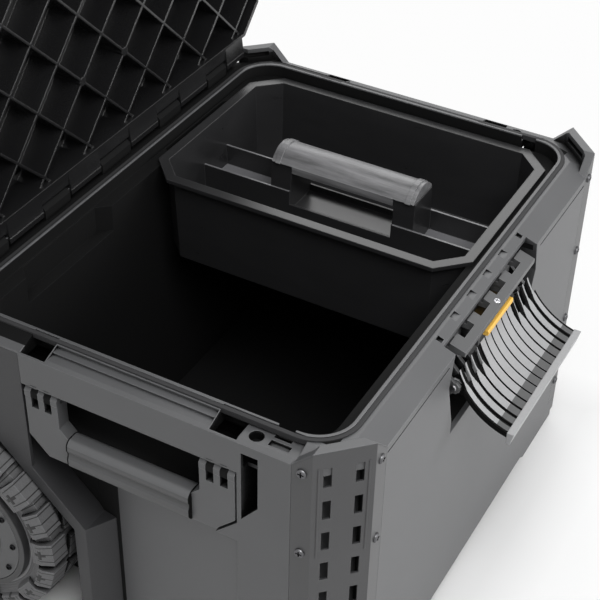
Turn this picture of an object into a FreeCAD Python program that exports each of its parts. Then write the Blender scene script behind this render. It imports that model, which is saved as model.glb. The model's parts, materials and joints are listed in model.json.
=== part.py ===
import FreeCAD, Part
import math
import os

# Rolling toolbox, millimetres, +Z up, floor at zero, front towards -Y.
# It is drawn about the middle of the tub and centred on its own box at the end.

# Tub, outside
tub_width = 576.0
tub_depth = 442.0
rim_height = 348.0
corner_cut = 38.0
skirt_height = 17.0
skin = 4.0
deck = 8.0
foot_length = 84.0
foot_ramp = 32.0
foot_depth = 67.0
foot_inset = 3.0

# Tub, rim and inside
lip_rise = 10.0
rim_side = 28.0
rim_front = 32.5
mouth_corner = 34.0
lip_bead = 3.0
seal_width = 4.0
seal_depth = 4.0
seal_low = 0.5
rim_slope = 22.0
deck_step = 2.0
seam_drop = 7.0
seam_width = 1.6
seam_depth = 1.2
ledge_side = 10.0
ledge_front = 14.5
ledge_drop = 15.0
bin_corner = 26.0
bin_floor = 30.0
bin_wall = 3.5
notch_end = 57.0
notch_start = 52.0
notch_depth = 13.0
notch_height = 30.0

# Rim pads, strips and sockets
socket_margin = 3.0
socket_setback = 11.8
socket_edge = 13.0
socket_radius = 6.6
socket_depth = 9.0
socket_rise = 2.0
key_width = 9.0
key_length = 16.0
key_edge = 19.0
key_front = 13.0
step_width = 6.5
step_edge = 9.0
step_depth = 3.0
rim_gap_width = 24.0
rim_gap_length = 26.0
rim_gap_wall = 2.0
strip_step = 13.0
strip_inner = 20.0
strip_low = 1.5
strip_high = 4.0
pad_size = 10.0
pad_depth = 0.7
end_pad_size = 6.0
end_pad_depth = 3.0
pad_setback = 18.0

# Corner posts and brackets
post_rise = 10.0
post_wall = 9.0
shoulder = 20.0
back_post_inset = 30.0
post_slot_width = 36.0
post_slot_depth = 4.0
post_slot_rise = 1.0
post_slot_height = 6.0
bracket_sheet = 2.0
bracket_gap = 1.0
bracket_foot = 36.0
slot_width = 7.2
slot_height = 21.0
slot_pitch = 36.8
slot_spread = 27.6
slot_drop = 17.0
slot_rows = 9
bead_spread = 43.0
bead_length = 103.0
bead_proud = 0.7
screw_head = 4.9
screw_rise = 2.2
screw_sides = 12
screw_pitch = 92.5
screw_rows = 4
screw_drop = 5.0

# Side recess, top band, handle pocket and upright slot
ramp_lead = 133.5
recess_shallow = 2.5
recess_deep = 32.0
band_height = 34.0
pocket_height = 82.0
pocket_depth = 32.0
pocket_front = 2.0
pocket_back = 3.0
column_slot_gap = 4.2
column_slot_width = 16.1
column_slot_top = 10.0
column_slot_long = 77.0
column_slot_slant = 20.0

# Wheel and arch
tyre_radius = 112.5
tyre_width = 72.0
tyre_carcass = 5.5
tyre_cheek = 4.0
bead_radius = 80.0
bead_inset = 8.0
lug_count = 18
lug_fill = 0.68
lug_short = 16.0
lug_long = 22.0
lug_inner = 11.0
wheel_inset = 14.5
axle_setback = 27.5
axle_radius = 6.0
running_fit = 0.05
arch_gap = 3.1
arch_front = 126.5
arch_band = 13.0
arch_flare = 18.0
well_gap = 4.0
cover_setback = 46.0
cover_sheet = 4.0
part_gap = 0.3
hub_radius = 19.0
hub_recess = 10.0
hub_stand = 2.0
rim_sheet = 9.0
ring_outer = 72.5
ring_inner = 49.0
ring_thick = 5.0
ring_bolts = 12
ring_bolt_circle = 66.0
ring_bolt = 3.2
ring_bolt_rise = 2.0
spokes = 6
spoke_width = 15.0
spoke_depth = 9.0
web_depth = 30.0
cap_radius = 15.0
cap_wall = 3.0
cap_proud = 2.0
bush_wall = 4.0
retainer_thick = 2.5

# Side handles
handle_span = 217.0
handle_offset = -2.0
handle_drop = 77.0
handle_thick = 14.0
handle_bar = 30.0
handle_bend = 20.0
grip_length = 130.0
grip_proud = 4.0
core_half = 5.0
core_inset = 6.0
finger = 7.0
finger_gap = 0.3
knuckle_radius = 7.5
handle_pin = 2.5

# Lid
lid_height = 40.0
lid_wall = 4.0
lid_top = 3.5
lid_bevel = 8.0
lid_overhang = 3.0
lid_seat_gap = 0.6
lid_post_gap = 5.0
hinge_setback = 11.0
hinge_rise = 4.5
hinge_reach = 20.0
hinge_radius = 6.5
hinge_pin = 3.0
hinge_guard = 2.5
rib_pitch = 71.0
rib_thick = 2.5
rib_setback = 5.0
rib_first = 11.0
boss_radius = 5.0
boss_sides = 8
rail_height = 3.0
rail_width = 26.0
lid_open_angle = 90.0

# Latch
latch_half = 82.0
latch_setback = 2.4
latch_drop = 48.0
latch_pin = 2.5
latch_knuckle = 6.0
latch_depth = 24.0
latch_back = 4.0
latch_plate = 5.0
plate_rise = 46.0
plate_fall = 5.0
plate_front = 6.4
plate_gap = 9.5
fin_first = 45.0
fin_pitch = 13.0
fin_count = 4
fin_thick = 4.0
fin_reach = 26.0
recess_side = 10.0
recess_bulge = 17.0
recess_foot = 2.0
recess_rise = 13.0
recess_fall = 54.0
ramp_rise = 16.0
flap_half = 86.0
flap_root = 2.4
flap_root_rise = 18.0
flap_reach = 56.4
flap_drop = 30.0
flap_mid_reach = 27.0
flap_mid_drop = 15.5
flap_sheet = 3.0
flap_band = 1.6
flap_bands = 14
flap_groove = 1.4
flap_lip = 12.0
flap_lip_reach = 6.0
hook_pitch = 36.6
hook_width = 22.0
hook_thick = 3.5
hook_setback = 3.0
hook_depth = 36.0
hook_way = 10.0
bolt_half = 29.5
bolt_height = 5.5
bolt_rise = 23.5
bolt_proud = 1.0
guide_thick = 4.0
guide_height = 24.0

# Lift-out tray
tray_near = 9.5
tray_rest_side = 4.0
tray_rest_front = 4.75
tray_corner = 29.0
tray_flange = 8.0
tray_flange_thick = 4.5
tray_wall = 2.5
tray_clear = 12.4
tray_draft = 4.0
trough_half = 23.0
trough_wall_drop = 41.0
trough_floor_drop = 65.0
hand_gap = 60.0
hand_gap_drop = 57.0
post_length = 24.0
tray_bar_drop = 11.0
tray_bar_thick = 8.0
tray_grip_width = 44.0
tray_grip_rise = 13.0
tray_grip_skirt = 2.0

# Pull handle
tube_spread = 150.0
tube_stand = 45.0
outer_tube = 14.0
tube_sheet = 1.5
slide_gap = 0.3
outer_bottom = 40.0
outer_top_drop = 26.0
collar_height = 12.0
collar_wall = 3.0
stage_step = 14.0
clamp_height = 24.0
clamp_wall = 4.0
clamp_ear = 14.0
pull_grip_half = 13.0
pull_grip_height = 26.0
pull_grip_end = 8.0
button_length = 44.0
button_width = 12.0
button_rise = 4.0
button_travel = 3.0

# Worked out from the sizes above
root2 = math.sqrt(2.0)
half_x = tub_width / 2
half_y = tub_depth / 2
lip_height = rim_height + lip_rise
post_height = lip_height + post_rise
shoulder_drop = post_height - rim_height
deck_top = lip_height - deck_step
ledge_z = lip_height - ledge_drop
mouth_x = half_x - rim_side
mouth_y = half_y - rim_front
bin_x = mouth_x - ledge_side
bin_y = mouth_y - ledge_front
band_z = rim_height - band_height
pocket_z = band_z - pocket_height
axle_y = half_y - axle_setback
axle_z = tyre_radius
wheel_middle = half_x - wheel_inset
well_x = wheel_middle - tyre_width / 2 - well_gap
handle_middle = handle_offset
recess_front = handle_middle - handle_span / 2 - pocket_front
cover_front = handle_middle + handle_span / 2 + pocket_back
cover_back = half_y - cover_setback
ramp_end = axle_y - ramp_lead
hinge_y = half_y - hinge_setback
hinge_z = lip_height + hinge_rise
hinge_step = tub_width / 288
latch_y = half_y - latch_setback
latch_z = rim_height - latch_drop
far = 2000.0
over = 1.0


def vec(x, y, z):
    return FreeCAD.Vector(x, y, z)


def block(x0, x1, y0, y1, z0, z1):
    return Part.makeBox(x1 - x0, y1 - y0, z1 - z0, vec(x0, y0, z0))


def prism(points, direction):
    face = Part.Face(Part.makePolygon(points + points[:1]))
    return face.extrude(direction)


def prism_x(points, x0, x1):
    return prism([vec(x0, y, z) for y, z in points], vec(x1 - x0, 0, 0))


def prism_y(points, y0, y1):
    return prism([vec(x, y0, z) for x, z in points], vec(0, y1 - y0, 0))


def prism_z(points, z0, z1):
    return prism([vec(x, y, z0) for x, y in points], vec(0, 0, z1 - z0))


def taper_z(low_points, high_points, z0, z1):
    wires = [Part.makePolygon([vec(x, y, z) for x, y in points + points[:1]])
             for points, z in ((low_points, z0), (high_points, z1))]
    return Part.makeLoft(wires, True, True)


def rod_x(radius, x0, x1, y, z):
    return Part.makeCylinder(radius, x1 - x0, vec(x0, y, z), vec(1, 0, 0))


def rod_y(radius, y0, y1, x, z):
    return Part.makeCylinder(radius, y1 - y0, vec(x, y0, z), vec(0, 1, 0))


def rod_z(radius, z0, z1, x, y):
    return Part.makeCylinder(radius, z1 - z0, vec(x, y, z0), vec(0, 0, 1))


def join(shapes):
    return shapes[0].multiFuse(shapes[1:]).removeSplitter()


def less(shape, tools):
    return shape.cut(Part.makeCompound(tools))


def flip(shape):
    return shape.mirror(vec(0, 0, 0), vec(1, 0, 0))


def both(shape):
    return [shape, flip(shape)]


def eight(a, b, half):
    # corners of an eight-sided knuckle, flat on top, half its width across the flats
    corner = half / math.cos(math.pi / 8)
    turns = [math.pi * (2 * i + 1) / 8 for i in range(8)]
    return [(a + corner * math.cos(t), b + corner * math.sin(t)) for t in turns]


def rounded(half_w, half_d, radius, z0, z1):
    solid = block(-half_w, half_w, -half_d, half_d, z0, z1)
    upright = [e for e in solid.Edges if abs(e.tangentAt(e.FirstParameter).z) > 0.9]
    return solid.makeFillet(radius, upright)


def mouth_shape(grow, z0, z1):
    return rounded(mouth_x + grow, mouth_y + grow, mouth_corner + grow, z0, z1)


def tub_outline(inset):
    # the octagon of the tub, moved inwards by inset
    x = half_x - inset
    y = half_y - inset
    cut = corner_cut - inset * (2 - root2)
    right = [(x - cut, -y), (x, cut - y), (x, y - cut), (x - cut, y)]
    return right + [(-px, py) for px, py in reversed(right)]


def recessed_outline(shallow, deep):
    # the octagon with the ramped recess in both sides
    back = cover_back + part_gap
    right = [(half_x - corner_cut, -half_y), (half_x, corner_cut - half_y), (half_x, recess_front)]
    right += [(half_x - shallow, recess_front), (half_x - deep, ramp_end), (half_x - deep, back)]
    right += [(half_x, back), (half_x, half_y - corner_cut), (half_x - corner_cut, half_y)]
    return right + [(-px, py) for px, py in reversed(right)]


def skin_ring(points, z0, z1):
    face = Part.Face(Part.makePolygon([vec(x, y, z0) for x, y in points + points[:1]]))
    inside = face.makeOffset2D(-skin, 2)
    rise = vec(0, 0, z1 - z0)
    return face.extrude(rise).cut(inside.extrude(rise))


def arch_points(grow):
    # front and top corners of the wheel opening, moved outwards by grow
    reach = tyre_radius + arch_gap + grow
    front = axle_y - arch_front - grow
    slant = front - axle_y + reach * root2
    return (front, axle_z + slant), (axle_y + reach - reach * root2, axle_z + reach)


def arch_face(grow, back, low):
    corner, top = arch_points(grow)
    return [(corner[0], low), corner, top, (back, top[1]), (back, low)]


# Corner posts: the outline's own wall, cut by 45 degree shoulders
def shoulder_wedge(drop):
    # keeps what lies under the post top and both shoulders of the front left corner
    top = post_height - drop
    side_y = corner_cut - half_y
    front_x = corner_cut - half_x
    run = top - skirt_height
    side = prism_x([(-far, 0), (-far, top), (side_y, top), (side_y + run, skirt_height),
                    (side_y + run, 0)], -far, far)
    front = prism_y([(-far, 0), (-far, top), (front_x, top), (front_x + run, skirt_height),
                     (front_x + run, 0)], -far, far)
    return side.common(front)


def corner_wall(depth0, depth1, z0, drop, reach):
    ring = prism_z(tub_outline(depth0), z0, post_height).cut(
        prism_z(tub_outline(depth1), z0, post_height))
    limit = block(-far, corner_cut + reach - half_x, -far, corner_cut + reach - half_y, z0, post_height)
    return ring.common(limit).common(shoulder_wedge(drop))


def corner_posts():
    front = corner_wall(0, post_wall, rim_height - deck, 0, shoulder_drop)
    back = front.mirror(vec(0, 0, 0), vec(0, 1, 0))
    back_post = half_x - back_post_inset
    back = back.cut(block(-back_post, back_post, 0, far, rim_height, far))
    return both(front) + both(back)


bracket_reach = shoulder - bracket_gap
chamfer_x = corner_cut / 2 - half_x
chamfer_y = corner_cut / 2 - half_y


def chamfer_block(along, width, out0, out1, z0, z1):
    # a block on the front left corner face: along it, out from it
    shape = block(-width / 2, width / 2, -out1, -out0, z0, z1)
    shape.rotate(vec(0, 0, 0), vec(0, 0, 1), -45)
    shape.translate(vec(chamfer_x + along / root2, chamfer_y - along / root2, 0))
    return shape


slot_top = post_height - bracket_gap - slot_drop
screw_side_y = corner_cut - half_y + bracket_reach / 2
screw_front_x = corner_cut - half_x + bracket_reach / 2
screw_top = rim_height - screw_drop


def screw_places():
    # head seats and outward directions of the screws of the front left bracket
    rows = [screw_top - i * screw_pitch for i in range(screw_rows)]
    side = [(vec(-half_x, screw_side_y, z), vec(-1, 0, 0)) for z in rows]
    front = [(vec(screw_front_x, -half_y, z), vec(0, -1, 0)) for z in rows]
    return side + front


def head(place, outward, radius, height, sides):
    # a plain many-sided fastener head that sits on a face
    across = outward.cross(vec(0, 0, 1))
    up = outward.cross(across)
    points = []
    for i in range(sides):
        angle = 2 * math.pi * (i + 0.5) / sides
        points.append(place + across * (radius * math.cos(angle)) + up * (radius * math.sin(angle)))
    return prism(points, outward * height)


def screws():
    one_side = [head(place, out, screw_head, screw_rise, screw_sides) for place, out in screw_places()]
    return Part.makeCompound(one_side + [flip(s) for s in one_side])


def corner_bracket():
    sheet = corner_wall(0, bracket_sheet, bracket_foot, bracket_gap, bracket_reach)
    slots = []
    for row in range(slot_rows):
        top = slot_top - row * slot_pitch
        for side in (-1, 1):
            slots.append(chamfer_block(side * slot_spread / 2, slot_width, -slot_width, slot_width,
                                       top - slot_height, top))
    beads = [chamfer_block(side * bead_spread / 2, bead_proud * 2, -bracket_sheet / 2, bead_proud,
                           slot_top + bead_proud - bead_length, slot_top + bead_proud)
             for side in (-1, 1)]
    return less(join([sheet] + beads), slots)


def post_slots():
    # a slot in the inner face of each corner post
    low = deck_top + post_slot_rise
    slot = chamfer_block(0, post_slot_width, -post_wall - over, post_slot_depth - post_wall,
                         low, low + post_slot_height)
    return both(slot) + both(slot.mirror(vec(0, 0, 0), vec(0, 1, 0)))


def bracket_cuts():
    # the seat of the bracket and the dark space behind its slots
    seat = corner_wall(-over, bracket_sheet, bracket_foot - part_gap, bracket_gap - part_gap,
                       bracket_reach + part_gap)
    window = chamfer_block(0, slot_spread + slot_width * 2, -post_wall * 2, over,
                           bracket_foot + slot_width, rim_height - deck)
    return both(seat) + both(window)


# Latch recess in the front
recess_top_half = flap_half + recess_side
recess_wide_half = flap_half + recess_bulge
recess_low_half = flap_half + recess_foot
recess_low = latch_z - recess_fall
recess_bend = latch_z + recess_rise
recess_floor = half_y - latch_depth


def latch_recess(grow, y0, y1, top):
    points = [(recess_top_half + grow, top), (recess_wide_half + grow, recess_bend),
              (recess_low_half + grow, recess_low + ramp_rise - grow)]
    points = points + [(-x, z) for x, z in reversed(points)]
    return prism_y(points, y0, y1)


def latch_ramp(grow):
    low = recess_low - grow
    high = low + ramp_rise
    front = -half_y - over + grow
    floor = grow - recess_floor
    face = [(front, low), (floor, high), (floor, high + grow + over), (front, high + grow + over)]
    return prism_x(face, -recess_low_half - grow, recess_low_half + grow)


# Lid hinge: lid arms and tub knuckles share the pin; middles and widths in hinge steps
lid_arms = [(26, 25), (74, 26), (118, 18)]
tub_knuckles = [(0, 25), (50, 20), (98, 19)]


def spans(pairs):
    # start and end of each knuckle on both halves
    found = []
    for middle, width in pairs:
        for side in ((-1, 1) if middle else (1,)):
            found.append(((side * middle - width / 2) * hinge_step, (side * middle + width / 2) * hinge_step))
    return found


def tub_hinge():
    solids = []
    foot_y = half_y - hinge_guard
    foot_z = rim_height - deck
    for x0, x1 in spans(tub_knuckles):
        foot = [(hinge_y - hinge_radius, foot_z), (foot_y, foot_z), (hinge_y + hinge_radius, hinge_z),
                (hinge_y - hinge_radius, hinge_z)]
        solids += [prism_x(foot, x0, x1), prism_x(eight(hinge_y, hinge_z, hinge_radius), x0, x1)]
    reach = half_x - corner_cut
    solids.append(block(-reach, reach, foot_y, half_y, foot_z, hinge_z + hinge_guard))
    return solids


# Side handle knuckles: three handle fingers and two tub fingers at each end
handle_axis_z = band_z - knuckle_radius * 1.2
handle_axis_x = half_x - handle_thick / 2
arm_width = finger * 5
arm_inner = handle_span / 2 - arm_width


def handle_ends(starts, width, gap):
    # both ends of the handle: spans that start at so many fingers from the inner side
    found = []
    for start in starts:
        near = arm_inner + start * finger + gap
        reach = near + width - 2 * gap
        found += [(handle_middle + near, handle_middle + reach), (handle_middle - reach, handle_middle - near)]
    return found


def handle_fingers():
    return handle_ends((0, 2, 4), finger, 0)


def tub_fingers(gap):
    return handle_ends((1, 3), finger, gap)


def tub_handle_ears():
    # fingers that hang from the top band and carry the pins, left side
    ears = []
    back = pocket_depth - skin / 2 - half_x
    top = band_z + skin / 2
    low = handle_axis_z - knuckle_radius
    for y0, y1 in tub_fingers(finger_gap):
        arm = [(-handle_axis_x - knuckle_radius, top), (back, top), (back, low), (-handle_axis_x, low)]
        plate = prism_y(arm, y0, y1).fuse(prism_y(eight(-handle_axis_x, handle_axis_z, knuckle_radius), y0, y1))
        ears.append(plate.cut(rod_y(handle_pin, y0, y1, -handle_axis_x, handle_axis_z)))
    return ears


def pocket_wedge():
    # fills the lower front corner of the pocket beside the bend of the handle
    side = handle_bend + pocket_front
    face = [(recess_front, pocket_z), (recess_front + side, pocket_z), (recess_front, pocket_z + side)]
    return prism_x(face, -half_x, pocket_depth - half_x)


# Sockets and cut-outs of the side rims
socket_x = half_x - socket_edge
socket_y = recess_front - socket_setback
socket_flat = rim_height + socket_rise
socket_plate = (corner_cut + shoulder - half_y - socket_margin, recess_front + over)
key_slot = (socket_plate[0] + key_front, socket_plate[0] + key_front + key_length)
rim_gap_front = (recess_front + over, recess_front + over + rim_gap_length)
rim_gap_back = (cover_front - rim_gap_wall - rim_gap_length, cover_front - rim_gap_wall)
rim_gap_inner = half_x - rim_gap_wall - rim_gap_width
hook_rows = [(i - 1.5) * hook_pitch for i in range(4)]
pad_slope = (deck_top - rim_height) / rim_slope


def rim_cuts():
    under = rim_height - deck - over
    flat = block(-half_x - over, -rim_gap_inner, socket_plate[0], socket_plate[1], socket_flat, far)
    hole = rod_z(socket_radius, socket_flat - socket_depth, far, -socket_x, socket_y)
    key = block(key_edge - half_x, key_edge + key_width - half_x, key_slot[0], key_slot[1], under, far)
    step = block(step_edge - half_x, step_edge + step_width - half_x, key_slot[0] - step_depth,
                 key_slot[1], socket_flat - step_depth, far)
    gaps = [block(rim_gap_wall - half_x, -rim_gap_inner, g[0], g[1], under, far)
            for g in (rim_gap_front, rim_gap_back)]
    strip = (rim_gap_front[1] + over, rim_gap_back[0] - over)
    low = block(-half_x - over, strip_step - half_x, strip[0], strip[1], rim_height + strip_low, far)
    high = block(strip_step - half_x - over, strip_inner - half_x, strip[0], strip[1],
                 rim_height + strip_high, far)
    pads = []
    pad_y = pad_setback - half_y
    pad_z = rim_height + pad_setback * pad_slope
    for x in hook_rows:
        pads.append((x, pad_size / 2, pad_z - pad_depth))
    for side in (-1, 1):
        pads.append((side * hook_pitch * 2.5, end_pad_size / 2, pad_z - end_pad_depth))
    squares = [block(x - half, x + half, pad_y - half, pad_y + half, z, far) for x, half, z in pads]
    cuts = [flat, hole, key, step, low, high] + gaps
    return cuts + [flip(c) for c in cuts] + squares


def front_seam():
    # shallow line under the rim, between the bracket and the latch recess
    top = rim_height - seam_drop
    return block(corner_cut + shoulder + over - half_x, -recess_wide_half - skin, -half_y - over,
                 seam_depth - half_y, top - seam_width, top)


def column_slot():
    # upright slot beside the handle pocket, slanted at its foot
    top = rim_height - column_slot_top
    y1 = recess_front - column_slot_gap
    y0 = y1 - column_slot_width
    low = top - column_slot_long
    face = [(y0, top), (y1, top), (y1, low), (y0, low + column_slot_slant)]
    return prism_x(face, -half_x - over, skin * 3 - half_x)


# Bay in the back wall under the ledge, left half
bay_x0 = notch_end - bin_x
bay_x1 = -notch_start


def ledge_notch():
    face = [(bay_x0, bin_y - over), (bay_x0 + notch_depth, bin_y + notch_depth),
            (bay_x1 - notch_depth, bin_y + notch_depth), (bay_x1, bin_y - over)]
    return prism_z(face, ledge_z - notch_height, ledge_z + over)


def tub_foot():
    x0 = corner_cut - half_x - skin
    x1 = x0 + foot_length
    top = skirt_height + skin
    face = [(x0, 0), (x1, 0), (x1 + foot_ramp, top), (x0, top)]
    return prism_y(face, foot_inset - half_y, foot_inset + foot_depth - half_y)


def tub_shell():
    octagon = tub_outline(0)
    low = recessed_outline(recess_shallow, recess_deep)
    pocket = recessed_outline(pocket_depth, recess_deep)
    bin_wall_block = rounded(bin_x + bin_wall, bin_y + bin_wall, bin_corner + bin_wall,
                             bin_floor - bin_wall, rim_height)
    bay = block(bay_x0 - skin, bay_x1 + skin, bin_y, bin_y + notch_depth + bin_wall,
                ledge_z - notch_height - bin_wall, rim_height)
    well_wall = prism_x(arch_face(skin, half_y, skirt_height), -half_x, skin - well_x).common(
        prism_z(pocket, skirt_height, rim_height))
    well_void = prism_x(arch_face(0, half_y + over, -over), -half_x - over, -well_x)
    bin_void = rounded(bin_x, bin_y, bin_corner, bin_floor, ledge_z).cut(
        Part.makeCompound(both(prism_x(arch_face(skin, half_y, 0), -half_x, skin - well_x))))
    body = [bin_wall_block, taper_z(octagon, tub_outline(rim_slope), rim_height, deck_top),
            mouth_shape(lip_bead, rim_height, lip_height),
            prism_z(octagon, rim_height - deck, rim_height),
            skin_ring(low, skirt_height, pocket_z),
            skin_ring(pocket, pocket_z, band_z),
            skin_ring(octagon, band_z, rim_height),
            prism_z(low, pocket_z - skin, pocket_z),
            prism_z(octagon, band_z, band_z + skin),
            latch_recess(skin, -half_y, skin - recess_floor, rim_height - over),
            latch_ramp(skin)]
    for shape in (bay, well_wall, tub_foot(), pocket_wedge(), Part.makeCompound(tub_handle_ears())):
        body += both(shape)
    shell = join(body + corner_posts() + tub_hinge())
    groove = mouth_shape(lip_bead + seal_width, deck_top - seal_depth, lip_height).cut(
        mouth_shape(lip_bead, rim_height, lip_height + over))
    cover_seat = block(-half_x - over, cover_sheet + part_gap - half_x, cover_front - part_gap,
                       cover_back + part_gap, pocket_z, rim_height)
    latch_mouth = block(-recess_top_half, recess_top_half, -half_y - over, hook_way - latch_y, recess_bend, far)
    cuts = [bin_void, mouth_shape(0, ledge_z, far), groove, latch_ramp(0), latch_mouth,
            latch_recess(0, -half_y - over, -recess_floor, rim_height),
            rod_x(hinge_pin, -half_x, half_x, hinge_y, hinge_z),
            rod_x(axle_radius, -half_x, half_x, axle_y, axle_z)]
    for shape in (well_void, cover_seat, column_slot(), front_seam(), ledge_notch()):
        cuts += both(shape)
    return less(shell, cuts + bracket_cuts() + rim_cuts() + post_slots())


def rim_seal():
    low = deck_top - seal_depth
    outer = mouth_shape(lip_bead + seal_width, low, lip_height - seal_low)
    return outer.cut(mouth_shape(lip_bead, low - over, lip_height))


def arch_cover():
    corner, top = arch_points(0)
    out_corner, out_top = arch_points(arch_band)
    band = [(out_corner[0], skirt_height), out_corner, out_top, (cover_back, out_top[1]),
            (cover_back, top[1]), top, corner, (corner[0], skirt_height)]
    slant_z = axle_z + cover_front - axle_y + (tyre_radius + arch_gap + arch_band) * root2
    panel = [(cover_front, rim_height), (cover_front, slant_z), out_top, top, (cover_back, top[1]),
             (cover_back, rim_height)]
    deep_x = recess_deep - half_x
    front = out_corner[0]
    flare = prism_z([(-half_x, front), (deep_x, front - arch_flare), (deep_x, front + over),
                     (-half_x, front + over)], skirt_height, out_corner[1])
    arch = prism_x(band, -half_x, deep_x).fuse(flare)
    arch = arch.cut(prism_z(recessed_outline(recess_shallow, recess_deep), skirt_height, pocket_z))
    return join([arch, prism_x(panel, -half_x, cover_sheet - half_x)])


# Lid, drawn closed and then swung open about its hinge
lid_base = lip_height + lid_seat_gap
lid_crown = lid_base + lid_height
lid_bevel_z = lid_crown - lid_bevel
lid_half_x = half_x + lid_overhang
lid_front = -half_y - lid_overhang
lid_back = hinge_y - hinge_reach
lid_diagonal = half_x + half_y - corner_cut - (post_wall + lid_post_gap) * root2
hook_y0 = hook_setback - latch_y
hook_y1 = hook_y0 + hook_thick


def lid_outline(inset):
    x = lid_half_x - inset
    diagonal = lid_diagonal - inset * root2
    front = lid_front + inset
    back = lid_back - inset
    right = [(diagonal + front, front), (x, x - diagonal), (x, diagonal - x), (diagonal - back, back)]
    return right + [(-px, py) for px, py in reversed(right)]


def lid_lattice(z0, z1):
    # diagonal ribs in both directions, cut to the inside of the lid and its bevel
    ribs = []
    nodes_y = lid_back - rib_first
    reach = lid_half_x + tub_depth
    count = int(reach / rib_pitch) + 1
    edge = lid_outline(lid_wall / 2)
    inside = prism_z(edge, z0, lid_bevel_z).fuse(
        taper_z(edge, lid_outline(lid_wall / 2 + lid_bevel), lid_bevel_z, lid_crown))
    for turn in (45, -45):
        for i in range(-count, count):
            rib = block(-reach, reach, -rib_thick / 2, rib_thick / 2, z0, z1)
            rib.rotate(vec(0, 0, 0), vec(0, 0, 1), turn)
            rib.translate(vec((i + 0.5) * rib_pitch, nodes_y, 0))
            ribs.append(rib.common(inside))
    return [rib for rib in ribs if rib.Volume > 1]


def lid_bosses(z0, z1):
    # bosses on some of the crossings nearest the hinge and the front
    found = []
    rows = int((lid_back - lid_front - rib_first * 2) / rib_pitch)
    for row in (1, rows - 1):
        for column in (-2.5, -0.5, 0.5, 2.5):
            place = vec(column * rib_pitch, lid_back - rib_first - row * rib_pitch, z0)
            points = []
            for i in range(boss_sides):
                turn = 2 * math.pi * i / boss_sides
                points.append(place + vec(boss_radius * math.cos(turn), boss_radius * math.sin(turn), 0))
            found.append(prism(points, vec(0, 0, z1 - z0)))
    return found


def lid_hinge_arms():
    solids = []
    root = lid_back - lid_wall / 2
    for x0, x1 in spans(lid_arms):
        arm = [(root, lid_base), (hinge_y, hinge_z - hinge_radius), (hinge_y, hinge_z + hinge_radius),
               (root, hinge_z + hinge_radius * 2)]
        solids += [prism_x(arm, x0, x1), prism_x(eight(hinge_y, hinge_z, hinge_radius), x0, x1)]
    reach = max(x1 for _, x1 in spans(lid_arms))
    apron_end = hinge_y - hinge_radius * 1.4
    solids.append(block(-reach, reach, root, apron_end, lid_base, hinge_z + hinge_rise))
    return solids


def lid_hooks():
    solids = []
    half = hook_width / 2
    for x in hook_rows:
        solids.append(block(x - half + hook_thick / 2, x + half - hook_thick / 2, hook_y0, hook_y1,
                            latch_z + hook_depth, lid_base + rib_setback + over))
        solids.append(block(x - half, x + half, lid_front + lid_wall / 2, hook_y1,
                            lid_base, lid_base + rib_setback * 2))
    return solids


def lid_rails():
    # low rails on the outer face, where another box stands
    solids = []
    z0 = lid_crown - over
    z1 = lid_crown + rail_height
    half = rail_width / 2
    for side in (-1, 1):
        x = side * lid_half_x * 0.55
        solids.append(block(x - half, x + half, lid_front + rail_width * 2, lid_back - rail_width * 2, z0, z1))
        y = (lid_front + lid_back) / 2 + side * (lid_back - lid_front) * 0.3
        solids.append(block(-rail_width * 3, rail_width * 3, y - half, y + half, z0, z1))
    return solids


def lid_shell():
    case = prism_z(lid_outline(0), lid_base, lid_bevel_z).fuse(
        taper_z(lid_outline(0), lid_outline(lid_bevel), lid_bevel_z, lid_crown))
    under = prism_z(lid_outline(lid_wall), lid_base - over, lid_bevel_z).fuse(
        prism_z(lid_outline(lid_wall + lid_bevel), lid_bevel_z - over, lid_crown - lid_top))
    rib_low = lid_base + rib_setback
    rib_high = lid_crown - lid_top / 2
    solids = [case.cut(under)] + lid_lattice(rib_low, rib_high) + lid_bosses(rib_low, rib_high)
    lid = join(solids + lid_hinge_arms() + lid_hooks() + lid_rails())
    lid = lid.cut(rod_x(hinge_pin + running_fit, -half_x, half_x, hinge_y, hinge_z))
    lid.rotate(vec(0, hinge_y, hinge_z), vec(1, 0, 0), -lid_open_angle)
    return lid


def hinge_rod():
    reach = max(x1 for _, x1 in spans(lid_arms)) + part_gap
    return rod_x(hinge_pin, -reach, reach, hinge_y, hinge_z)


# Latch: base in the recess, flap on two pins, bolt bar between the guides
latch_fins = [fin_first + i * fin_pitch for i in range(fin_count)]
fin_half = fin_thick / 2
plate_z = latch_z + plate_rise
plate_low = plate_z - plate_fall - latch_plate
plate_y = -latch_y - plate_front
bolt_z = latch_z + bolt_rise
guide_x = bolt_half + part_gap + guide_thick / 2


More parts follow.
